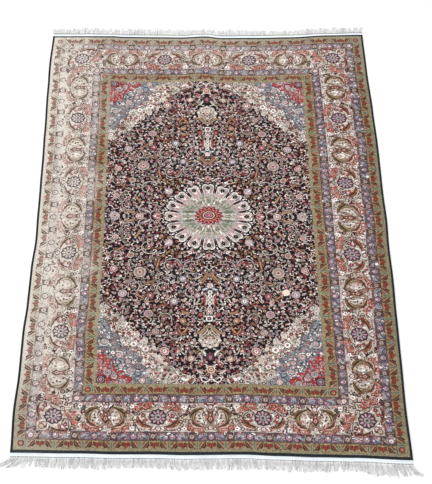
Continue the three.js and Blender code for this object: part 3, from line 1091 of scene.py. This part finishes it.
def swell(x, y):
    """How far the pile's face lies above or below its mean, as a worn rug on a floor does."""
    return 0.5 * np.sin(x / 131 + 0.7) * np.sin(y / 173) + 0.35 * np.sin(x / 67 - y / 119 + 2.1)


def underside_points(outline, pitch=45.0):
    """Inner points for the plain underside of a quarter."""
    low, high = np.min(outline, axis=0), np.max(outline, axis=0)
    inset = 7
    columns = np.arange(low[0] + inset, high[0], pitch)
    rows = np.arange(low[1] + inset, high[1], pitch)
    return [(x, y) for x in columns for y in rows]


def rim_loop(corners, triangles):
    """The corners round a cut quarter, in order."""
    following = dict(rim_edges(triangles).tolist())
    loop = [min(following)]
    while following[loop[-1]] != loop[0]:
        loop.append(following[loop[-1]])
    return corners[loop]


def bake_map(mesh, faces, flat, face_count, back_count):
    """A flat map: the face over most of it, the underside and the walls in strips at its right."""
    layer = mesh.uv_layers.new(name="OFBake")
    low, high = flat.min(axis=0), flat.max(axis=0)
    share = (flat - low) / (high - low)
    uv = share[faces] * (0.93, 0.996) + (0.002, 0.002)
    back = slice(face_count, face_count + back_count)
    uv[back] = share[faces[back]] * (0.05, 0.99) + (0.94, 0.005)
    uv[face_count + back_count:] = np.array([(0.993, 0.1), (0.998, 0.1), (0.993, 0.9)])
    layer.data.foreach_set("uv", uv.reshape(-1).astype(np.float32))


def mark_rim(mesh, edges):
    """A crisp edge round the pile's face."""
    pairs = np.empty(2 * len(mesh.edges), np.int32)
    mesh.edges.foreach_get("vertices", pairs)
    pairs = np.sort(pairs.reshape(-1, 2), axis=1).astype(np.int64)
    rim = np.sort(edges, axis=1).astype(np.int64)
    size = len(mesh.vertices)
    on_face = np.isin(pairs[:, 0] * size + pairs[:, 1], rim[:, 0] * size + rim[:, 1])
    mesh.edges.foreach_set("use_edge_sharp", on_face)


def add_piece(name, mesh):
    """A smooth-shaded object of this mesh."""
    mesh.polygons.foreach_set("use_smooth", np.ones(len(mesh.polygons), bool))
    mesh.validate()
    mesh.update()
    piece = bpy.data.objects.new(name, mesh)
    bpy.context.scene.collection.objects.link(piece)
    return piece


def pile_half(name, end, outline, face, ground):
    """One closed slab of pile at one end, its face coloured by yarn."""
    rim = rim_loop(face[0], face[1])
    back = cut_quarter(rim, Cartoon(), ground, underside_points(outline))
    face_points, face_triangles, face_yarns = mirror_half(*face, end)
    back_points, back_triangles, _ = mirror_half(*back, end)
    edges = rim_edges(face_triangles)
    below = {tuple(p): i for i, p in enumerate(back_points.tolist())}
    count = len(face_points)
    walls = []
    for a, b in edges.tolist():
        low_a = below[tuple(face_points[a].tolist())] + count
        low_b = below[tuple(face_points[b].tolist())] + count
        walls.extend([(b, a, low_a), (b, low_a, low_b)])
    flat = np.vstack([face_points, back_points])
    x, y = laid(*drifted(flat[:, 0], flat[:, 1]))
    z = np.zeros(len(flat))
    z[:count] = PILE_THICKNESS + swell(x[:count], y[:count])
    faces = np.vstack([face_triangles, back_triangles[:, ::-1] + count, np.array(walls)])
    mesh = bpy.data.meshes.new(name)
    mesh.from_pydata((np.stack([x, y, z], -1) * MM).tolist(), [], faces.tolist())
    palette = np.array([linear(c) for c in YARNS.values()])
    kinds = np.concatenate([face_yarns, np.full(len(faces) - len(face_yarns), list(YARNS).index(ground))])
    colours = np.ones((len(faces), 3, 4))
    colours[:, :, :3] = palette[kinds][:, None, :]
    layer = mesh.color_attributes.new("yarn", "FLOAT_COLOR", "CORNER")
    layer.data.foreach_set("color", colours.reshape(-1).astype(np.float32))
    sides = np.zeros(len(faces), np.int32)
    sides[len(face_triangles):len(face_triangles) + len(back_triangles)] = 1
    mesh.polygons.foreach_set("material_index", sides)
    bake_map(mesh, faces, flat, len(face_triangles), len(back_triangles))
    mark_rim(mesh, edges)
    return add_piece(name, mesh)


# Materials

def new_material(name):
    material = bpy.data.materials.new(name)
    material.use_nodes = True
    return material, material.node_tree, material.node_tree.nodes["Principled BSDF"]


def add_node(tree, kind, **settings):
    node = tree.nodes.new(kind)
    for key, value in settings.items():
        setattr(node, key, value)
    return node


def math_node(tree, operation, first, second):
    node = add_node(tree, "ShaderNodeMath", operation=operation)
    for socket, value in zip(node.inputs, (first, second)):
        if isinstance(value, (int, float)):
            socket.default_value = value
        else:
            tree.links.new(value, socket)
    return node.outputs[0]


def scaled_position(tree, scale):
    """The place on the object, stretched by scale."""
    place = add_node(tree, "ShaderNodeTexCoord")
    mapping = add_node(tree, "ShaderNodeMapping")
    mapping.inputs["Scale"].default_value = scale
    tree.links.new(place.outputs["Object"], mapping.inputs["Vector"])
    return mapping.outputs["Vector"]


def noise(tree, vector, scale, detail=2.0):
    node = add_node(tree, "ShaderNodeTexNoise")
    node.inputs["Scale"].default_value = scale
    node.inputs["Detail"].default_value = detail
    tree.links.new(vector, node.inputs["Vector"])
    return node.outputs["Fac"]


def ramp(tree, value, low, high, out_low, out_high):
    node = add_node(tree, "ShaderNodeMapRange", interpolation_type="SMOOTHSTEP")
    for name, number in (("From Min", low), ("From Max", high), ("To Min", out_low), ("To Max", out_high)):
        node.inputs[name].default_value = number
    tree.links.new(value, node.inputs["Value"])
    return node.outputs["Result"]


def mix_colour(tree, factor, first, second):
    node = add_node(tree, "ShaderNodeMix", data_type="RGBA")
    for socket, value in ((node.inputs["Factor"], factor), (node.inputs[6], first), (node.inputs[7], second)):
        if isinstance(value, (int, float)):
            socket.default_value = value
        elif isinstance(value, tuple):
            socket.default_value = (*linear(value), 1)
        else:
            tree.links.new(value, socket)
    return node.outputs[2]


def tinted(tree, colour, shade):
    """A display colour, or the colour of a socket, made darker or lighter by shade."""
    node = add_node(tree, "ShaderNodeVectorMath", operation="SCALE")
    if isinstance(colour, tuple):
        node.inputs[0].default_value = linear(colour)
    else:
        tree.links.new(colour, node.inputs[0])
    tree.links.new(shade, node.inputs["Scale"])
    return node.outputs["Vector"]


def bump(tree, shader, height, distance, strength):
    node = add_node(tree, "ShaderNodeBump")
    node.inputs["Distance"].default_value = distance
    node.inputs["Strength"].default_value = strength
    tree.links.new(height, node.inputs["Height"])
    tree.links.new(node.outputs["Normal"], shader.inputs["Normal"])


KNOT_PITCH = 1.3
WORN_SPOT = (0.2490, -0.3137, 0.005)
WORN_COLOUR = (228, 214, 196)
# Painted sheen: the pale colour that the left side and the far end of the pile are drawn towards.
PAINTED_SHEEN_COLOUR = (214, 206, 195)


def silk_material():
    """Knotted silk: the yarn's colour, uneven dye, single knots, a painted sheen that pales the left side and
    the far end, painted shade down the right side, and one worn spot.
    """
    material, tree, shader = new_material("knotted_silk")
    yarn = add_node(tree, "ShaderNodeAttribute", attribute_name="yarn").outputs["Color"]
    place = scaled_position(tree, (1, 1, 1))
    rows = noise(tree, scaled_position(tree, (2, 55, 1)), 1.0, 3)
    knots = noise(tree, place, 1 / (KNOT_PITCH * MM), 0)
    cells = add_node(tree, "ShaderNodeTexVoronoi")
    cells.inputs["Scale"].default_value = 1 / (2.4 * KNOT_PITCH * MM)
    tree.links.new(place, cells.inputs["Vector"])
    tuft = add_node(tree, "ShaderNodeSeparateColor")
    tree.links.new(cells.outputs["Color"], tuft.inputs[0])
    shade = math_node(tree, "MULTIPLY", ramp(tree, rows, 0.3, 0.7, 0.9, 1.06),
                      ramp(tree, knots, 0.3, 0.7, 0.84, 1.1))
    shade = math_node(tree, "MULTIPLY", shade, ramp(tree, tuft.outputs["Red"], 0.0, 1.0, 0.58, 1.16))
    split = add_node(tree, "ShaderNodeSeparateXYZ")
    tree.links.new(place, split.inputs[0])
    # Painted shade: the pile drawn darker towards the right side of the rug.
    shade = math_node(tree, "MULTIPLY", shade, ramp(tree, split.outputs["X"], 0.42, 0.6, 1.0, 0.86))
    tint = tinted(tree, yarn, shade)
    # Painted sheen: the left side and, more weakly, the far end drawn paler, with ragged edges and streaks.
    cloud = noise(tree, place, 6, 3)
    drift = math_node(tree, "MULTIPLY", math_node(tree, "SUBTRACT", cloud, 0.5), 0.3)
    sideways = math_node(tree, "ADD", split.outputs["X"], drift)
    lengthways = math_node(tree, "ADD", split.outputs["Y"], drift)
    left = math_node(tree, "MULTIPLY", ramp(tree, sideways, -0.56, -0.33, 0.86, 0.0),
                     ramp(tree, lengthways, -0.85, -0.5, 0.3, 1.0))
    far = math_node(tree, "MULTIPLY", ramp(tree, lengthways, 0.62, 0.82, 0.0, 0.3),
                    ramp(tree, sideways, -0.1, 0.6, 1.0, 0.3))
    streaks = noise(tree, scaled_position(tree, (34, 2.2, 1)), 1.0, 2)
    left = math_node(tree, "MULTIPLY", left, ramp(tree, streaks, 0.32, 0.68, 0.72, 1.24))
    painted_sheen = math_node(tree, "MAXIMUM", left, far)
    bright = add_node(tree, "ShaderNodeRGBToBW")
    tree.links.new(yarn, bright.inputs[0])
    grain = ramp(tree, tuft.outputs["Green"], 0.0, 1.0, 0.7, 1.25)
    # The painted sheen is weaker on dark yarns and on strongly dyed yarns, and varies from tuft to tuft.
    worn = math_node(tree, "MULTIPLY", painted_sheen, ramp(tree, bright.outputs[0], 0.045, 0.1, 0.12, 1.0))
    worn = math_node(tree, "MULTIPLY", worn, grain)
    dye = add_node(tree, "ShaderNodeSeparateColor", mode="HSV")
    tree.links.new(yarn, dye.inputs[0])
    worn = math_node(tree, "MULTIPLY", worn, ramp(tree, dye.outputs[1], 0.56, 0.8, 1.0, 0.5))
    pale = mix_colour(tree, worn, tint, PAINTED_SHEEN_COLOUR)
    away = add_node(tree, "ShaderNodeVectorMath", operation="DISTANCE")
    away.inputs[1].default_value = WORN_SPOT
    tree.links.new(place, away.inputs[0])
    fray = math_node(tree, "MULTIPLY", noise(tree, place, 90, 2), 0.008)
    ragged = math_node(tree, "ADD", away.outputs["Value"], fray)
    spot = ramp(tree, ragged, 0.016, 0.0175, 1.0, 0.0)
    colour = mix_colour(tree, spot, pale, WORN_COLOUR)
    tree.links.new(colour, shader.inputs["Base Color"])
    tree.links.new(ramp(tree, knots, 0.3, 0.7, 0.52, 0.7), shader.inputs["Roughness"])
    shader.inputs["Sheen Weight"].default_value = 0.06
    shader.inputs["Sheen Roughness"].default_value = 0.4
    shader.inputs["Specular IOR Level"].default_value = 0.12
    bump(tree, shader, knots, 0.0006, 0.5)
    return material


def yarn_material(name, colour, dark, light, pitch):
    """Plain spun yarn with fibres and uneven dye."""
    material, tree, shader = new_material(name)
    place = scaled_position(tree, (1, 1, 1))
    fibre = noise(tree, place, 1 / (pitch * MM), 2)
    cloud = noise(tree, place, 22, 3)
    shade = math_node(tree, "MULTIPLY", ramp(tree, fibre, 0.3, 0.7, dark, light),
                      ramp(tree, cloud, 0.3, 0.7, 0.94, 1.04))
    tree.links.new(tinted(tree, colour, shade), shader.inputs["Base Color"])
    tree.links.new(ramp(tree, fibre, 0.3, 0.7, 0.7, 0.88), shader.inputs["Roughness"])
    shader.inputs["Specular IOR Level"].default_value = 0.2
    bump(tree, shader, fibre, 0.0004, 0.5)
    return material


def back_material():
    """The underside: the backs of the knots in muted, mottled yarns, ribbed by the wefts."""
    material, tree, shader = new_material("knot_backs")
    place = scaled_position(tree, (1, 1, 1))
    mottle = noise(tree, place, 70, 4)
    ribs = noise(tree, scaled_position(tree, (160, 720, 1)), 1.0, 1)
    blend = math_node(tree, "MULTIPLY", ramp(tree, mottle, 0.36, 0.64, 0.0, 1.0),
                      ramp(tree, ribs, 0.3, 0.7, 0.55, 1.0))
    tree.links.new(mix_colour(tree, blend, (104, 84, 82), (178, 158, 144)), shader.inputs["Base Color"])
    tree.links.new(ramp(tree, ribs, 0.3, 0.7, 0.72, 0.86), shader.inputs["Roughness"])
    shader.inputs["Specular IOR Level"].default_value = 0.15
    bump(tree, shader, ribs, 0.0005, 0.5)
    return material


# Side cords, end bands and fringe

def grid_faces(rows, columns, closed=False):
    """Quads over a grid of points, row by row, joined round where closed."""
    faces = []
    for r in range(rows - 1):
        for c in range(columns if closed else columns - 1):
            d = (c + 1) % columns
            faces.append((r * columns + c, r * columns + d, (r + 1) * columns + d, (r + 1) * columns + c))
    return faces


WRAP_PITCH = 3.4
WRAP_STEPS = 4
CORD_SIDES = 10
CORD_FILL = 0.94  # of the room of the solid cord
CORD_RIDGE = 0.07


def selvedge(side, name, material):
    """An overcast side cord: a flattened roll with the ridges of its wrapping yarn."""
    step = WRAP_PITCH / WRAP_STEPS
    stations = np.arange(-HALF_LENGTH, HALF_LENGTH + step / 2, step)
    angle = np.arange(CORD_SIDES) * 2 * math.pi / CORD_SIDES
    s, a = np.meshgrid(stations, angle, indexing="ij")
    ridge = 1 + CORD_RIDGE * np.cos(2 * math.pi * s / WRAP_PITCH - side * a)
    across = SELVEDGE_WIDTH / 2 * CORD_FILL * ridge * np.cos(a)
    high = SELVEDGE_HEIGHT / 2 * CORD_FILL * ridge * np.sin(a) + SELVEDGE_HEIGHT / 2
    u = side * (HALF_WIDTH - SELVEDGE_WIDTH / 2) + across
    x, y = laid(u, s)
    points = (np.stack([x, y, high], -1).reshape(-1, 3) * MM).tolist()
    faces = grid_faces(len(stations), CORD_SIDES, True)
    faces.append(tuple(range(CORD_SIDES)))
    last = (len(stations) - 1) * CORD_SIDES
    faces.append(tuple(range(last + CORD_SIDES - 1, last - 1, -1)))
    mesh = bpy.data.meshes.new(name)
    mesh.from_pydata(points, [], [f[::-1] for f in faces])
    piece = add_piece(name, mesh)
    piece.data.materials.append(material)
    return piece


THREADS_PER_STRAND = 10
THREAD_RADIUS = 0.75
THREAD_STEPS = 7
# The greyer threads are partly dirt and partly painted shadow in the gaps between the threads.
SHADED_SHARE = 0.17  # of the threads, greyer than the rest


def fringe(side, table, name, yarns):
    """The end's woven band, its row of stitches, and the loose threads of the fringe."""
    points, faces, kinds = [], [], []

    def add(block, block_faces, kind):
        start = len(points)
        points.extend(block)
        faces.extend([tuple(start + i for i in f) for f in block_faces])
        kinds.extend([list(yarns).index(kind)] * len(block_faces))

    woven_band(side, add)
    stitch_row(side, add)
    threads(side, table, add)
    mesh = bpy.data.meshes.new(name)
    mesh.from_pydata((np.array(points) * MM).tolist(), [], faces)
    mesh.polygons.foreach_set("material_index", kinds)
    piece = add_piece(name, mesh)
    for yarn in yarns.values():
        piece.data.materials.append(yarn)
    return piece


def woven_band(side, add):
    """A plain-woven strip whose weft ribs run along it."""
    inner = HALF_LENGTH + SEAM_GAP
    columns = 409
    rib_pitch, points_per_rib = 2.0, 3
    mean_top, rib_height = 1.7, 0.35
    across = np.linspace(0, BAND_WIDTH, round(points_per_rib * BAND_WIDTH / rib_pitch) + 1)
    u = np.linspace(-HALF_WIDTH, HALF_WIDTH, columns)
    uu, dd = np.meshgrid(u, across, indexing="ij")
    x, y = laid(uu, side * (inner + dd))
    over = np.cos(2 * math.pi * dd / rib_pitch) * np.where(np.arange(columns) % 2, 1, -1)[:, None]
    top = mean_top + rib_height * over * np.clip(np.minimum(dd, BAND_WIDTH - dd), 0, 1)
    rows = len(across)
    upper = np.stack([x, y, top], -1).reshape(-1, 3)
    lower = np.stack([x, y, np.zeros_like(x)], -1).reshape(-1, 3)
    sheet = np.array(grid_faces(columns, rows))
    if side < 0:
        sheet = sheet[:, ::-1]
    count = columns * rows
    rim = rim_quads(columns, rows)
    walls = [(b, a, a + count, b + count) if side < 0 else (a, b, b + count, a + count) for a, b in rim]
    faces = sheet[:, ::-1].tolist() + (sheet + count).tolist() + walls
    add(np.vstack([upper, lower]).tolist(), faces, "band")


def rim_quads(rows, columns):
    """The edges round a grid of points, in order."""
    ring = list(range(columns))
    ring += [r * columns + columns - 1 for r in range(1, rows)]
    ring += [(rows - 1) * columns + c for c in range(columns - 2, -1, -1)]
    ring += [r * columns for r in range(rows - 2, 0, -1)]
    return list(zip(ring, ring[1:] + ring[:1]))


def stitch_row(side, add):
    """Twined stitches along the band's outer edge."""
    pitch = 5.0
    high, sizes, slant = 1.9, (2.4, 1.7, 1.2), 0.4
    at = HALF_LENGTH + SEAM_GAP + BAND_WIDTH - 1.6
    for k in range(int(2 * HALF_WIDTH / pitch)):
        u = -HALF_WIDTH + (k + 0.5) * pitch
        x, y = laid(u, side * at)
        add(*bead((float(x), float(y), high), sizes, slant), "stitch")


def bead(centre, sizes, slant):
    """A small slanting lozenge of yarn."""
    ring = []
    sides = 6
    rows = ((-1.0, 0.35), (-0.45, 0.9), (0.45, 0.9), (1.0, 0.35))
    turn = np.array([[math.cos(slant), math.sin(slant)], [-math.sin(slant), math.cos(slant)]])
    for along, thick in rows:
        for k in range(sides):
            a = k * 2 * math.pi / sides
            flat = np.array([along * sizes[0], thick * sizes[1] * math.cos(a)]) @ turn
            lift = thick * sizes[2] * math.sin(a)
            ring.append((centre[0] + flat[0], centre[1] + flat[1], centre[2] + lift))
    faces = grid_faces(len(rows), sides, True)
    faces.append(tuple(range(sides))[::-1])
    faces.append(tuple(range(len(ring) - sides, len(ring))))
    return ring, faces


def threads(side, table, add):
    """Loose warp threads in locks, lying in tangled waves on the floor."""
    root = HALF_LENGTH + SEAM_GAP + BAND_WIDTH - 1.0
    pitch = 2 * HALF_WIDTH / STRANDS_PER_END
    t = np.linspace(0, 1, THREAD_STEPS + 1)
    for lock in range(STRANDS_PER_END):
        u = -HALF_WIDTH + (lock + 0.5) * pitch
        length = float(read_table(table, 1, u)) + random.uniform(-3, 4)
        sway = float(read_table(table, 2, u)) + random.uniform(-4, 4)
        gather = random.uniform(0.5, 1.2)
        for thread in range(THREADS_PER_STRAND):
            spread = (thread + 0.5) / THREADS_PER_STRAND - 0.5
            start = u + spread * pitch
            reach = length * random.uniform(0.76, 1.0)
            across = sway + (gather - 1) * spread * pitch + random.uniform(-2.5, 2.5)
            wave = random.uniform(0.8, 2.2) * np.sin(random.uniform(5, 9) * t + random.uniform(0, 6)) * t
            x, y = laid(np.full(len(t), start), side * (root + reach * t))
            x = x + across * t ** STRAND_SWAY_POWER + wave
            slope = random.uniform(0.9, 2.4) * (1 - t) ** 1.1
            lift = THREAD_RADIUS + slope + random.uniform(0, 1.2) * np.sin(math.pi * t)
            yarn = "shade" if random.random() < SHADED_SHARE else "thread"
            add(*thread_tube(np.stack([x, y, lift], -1)), yarn)


def thread_tube(line):
    """A three-sided thread that narrows to its tip."""
    sides = 3
    side = sideways_of(line[:, :2])
    ring = []
    for i, point in enumerate(line):
        radius = THREAD_RADIUS * (1 - 0.45 * i / (len(line) - 1))
        for k in range(sides):
            a = math.pi / 2 + k * 2 * math.pi / sides
            x, y = point[:2] + side[i] * radius * math.cos(a)
            ring.append((x, y, point[2] + radius * math.sin(a)))
    faces = grid_faces(len(line), sides, True)
    faces.append(tuple(range(sides))[::-1])
    last = (len(line) - 1) * sides
    faces.append(tuple(range(last, last + sides)))
    return ring, [f[::-1] for f in faces]


# The pieces

def quarter_of_field():
    width, length = FIELD_HALF_WIDTH, FIELD_HALF_LENGTH
    return stationed([(0, 0), (width, 0), (width, length), (0, length)])


def quarter_of_border():
    width, length = FIELD_HALF_WIDTH, FIELD_HALF_LENGTH
    outer = [(PILE_HALF_WIDTH, 0), (PILE_HALF_WIDTH, HALF_LENGTH), (0, HALF_LENGTH)]
    return stationed([(width, 0), *outer, (0, length), (width, length)])


silk = silk_material()
knot_backs = back_material()
cord_yarn = yarn_material("selvedge_wrap", (26, 36, 38), 0.75, 1.3, 1.2)
fringe_yarns = {
    "band": yarn_material("woven_band", (240, 247, 252), 0.92, 1.0, 0.9),
    # The stitches' dark grey is partly the stitch yarn's colour and partly painted shadow round the stitches.
    "stitch": yarn_material("band_stitch", (84, 80, 78), 0.8, 1.1, 0.9),
    "thread": yarn_material("fringe_silk", (252, 252, 252), 0.9, 1.02, 0.9),
    # Greyer thread yarn: partly dirt, partly painted shadow among the fringe's threads.
    "shade": yarn_material("fringe_shade", (212, 212, 212), 0.84, 1.02, 0.9),
}

pile = []
for part, outline, cartoon, ground in (("field", quarter_of_field(), field_cartoon(), "ink"),
                                       ("border", quarter_of_border(), border_cartoon(), "teal")):
    face = cut_quarter(outline, cartoon, ground)
    for end, where in ((-1, "near"), (1, "far")):
        piece = pile_half(f"pile_{part}_{where}", end, outline, face, ground)
        piece.data.materials.append(silk)
        piece.data.materials.append(knot_backs)
        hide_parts("rug_pile")
        pile.append(piece)
cords = []
for side, name in ((-1, "selvedge_left"), (1, "selvedge_right")):
    cord = selvedge(side, name + "_wrap", cord_yarn)
    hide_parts(name)
    cords.append(cord)
fringes = []
for side, table, name in ((-1, NEAR_FRINGE, "fringe_near"), (1, FAR_FRINGE, "fringe_far")):
    end = fringe(side, table, name + "_threads", fringe_yarns)
    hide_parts(name)
    fringes.append(end)
for piece in (*pile, *cords, *fringes):
    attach(piece, "root")


# The stage

def make_floor():
    mesh = bpy.data.meshes.new("floor")
    half, drop = 9.0, 0.0004
    corners = [(-half, -half, 0), (half, -half, 0), (half, half, 0), (-half, half, 0)]
    mesh.from_pydata(corners, [], [(0, 1, 2, 3)])
    floor = bpy.data.objects.new("floor", mesh)
    bpy.context.scene.collection.objects.link(floor)
    floor.location.z = -drop
    material, tree, shader = new_material("pale_floor")
    cloud = noise(tree, scaled_position(tree, (1, 1, 1)), 0.8, 2)
    tint = tinted(tree, (250, 250, 250), ramp(tree, cloud, 0.3, 0.7, 0.985, 1.0))
    tree.links.new(tint, shader.inputs["Base Color"])
    shader.inputs["Roughness"].default_value = 0.9
    shader.inputs["Specular IOR Level"].default_value = 0.1
    mesh.materials.append(material)


def make_light():
    world = bpy.data.worlds.new("studio")
    world.use_nodes = True
    world.node_tree.nodes["Background"].inputs["Color"].default_value = (1, 1, 1, 1)
    world.node_tree.nodes["Background"].inputs["Strength"].default_value = 0.6
    bpy.context.scene.world = world
    lamp = bpy.data.lights.new("soft_box", "AREA")
    lamp.size = 4.0
    lamp.energy = 170
    box = bpy.data.objects.new("soft_box", lamp)
    box.location = (-0.9, 0.9, 4.4)
    box.rotation_euler = (Vector((0, 0, 0)) - box.location).to_track_quat("-Z", "Y").to_euler()
    bpy.context.scene.collection.objects.link(box)


CAMERA_PLACE = (-0.0497, -2.6948, 3.3720)
CAMERA_PITCH = math.radians(52.39)
CAMERA_YAW = math.radians(1.49)
CAMERA_ROLL = math.radians(1.432)
CAMERA_LENS = 92.29


def make_camera():
    lens = bpy.data.cameras.new("camera")
    lens.lens = CAMERA_LENS
    lens.sensor_width = 36.0
    camera = bpy.data.objects.new("camera", lens)
    level = math.cos(CAMERA_PITCH)
    ahead = Vector((math.sin(CAMERA_YAW) * level, math.cos(CAMERA_YAW) * level, -math.sin(CAMERA_PITCH)))
    right = Vector((math.cos(CAMERA_YAW), -math.sin(CAMERA_YAW), 0))
    up = right.cross(ahead)
    rolled_right = right * math.cos(CAMERA_ROLL) + up * math.sin(CAMERA_ROLL)
    rolled_up = up * math.cos(CAMERA_ROLL) - right * math.sin(CAMERA_ROLL)
    turn = Matrix((rolled_right, rolled_up, -ahead)).transposed()
    camera.matrix_world = Matrix.Translation(CAMERA_PLACE) @ turn.to_4x4()
    bpy.context.scene.collection.objects.link(camera)
    bpy.context.scene.camera = camera


make_floor()
make_light()
make_camera()
bpy.context.scene.view_settings.view_transform = "Standard"
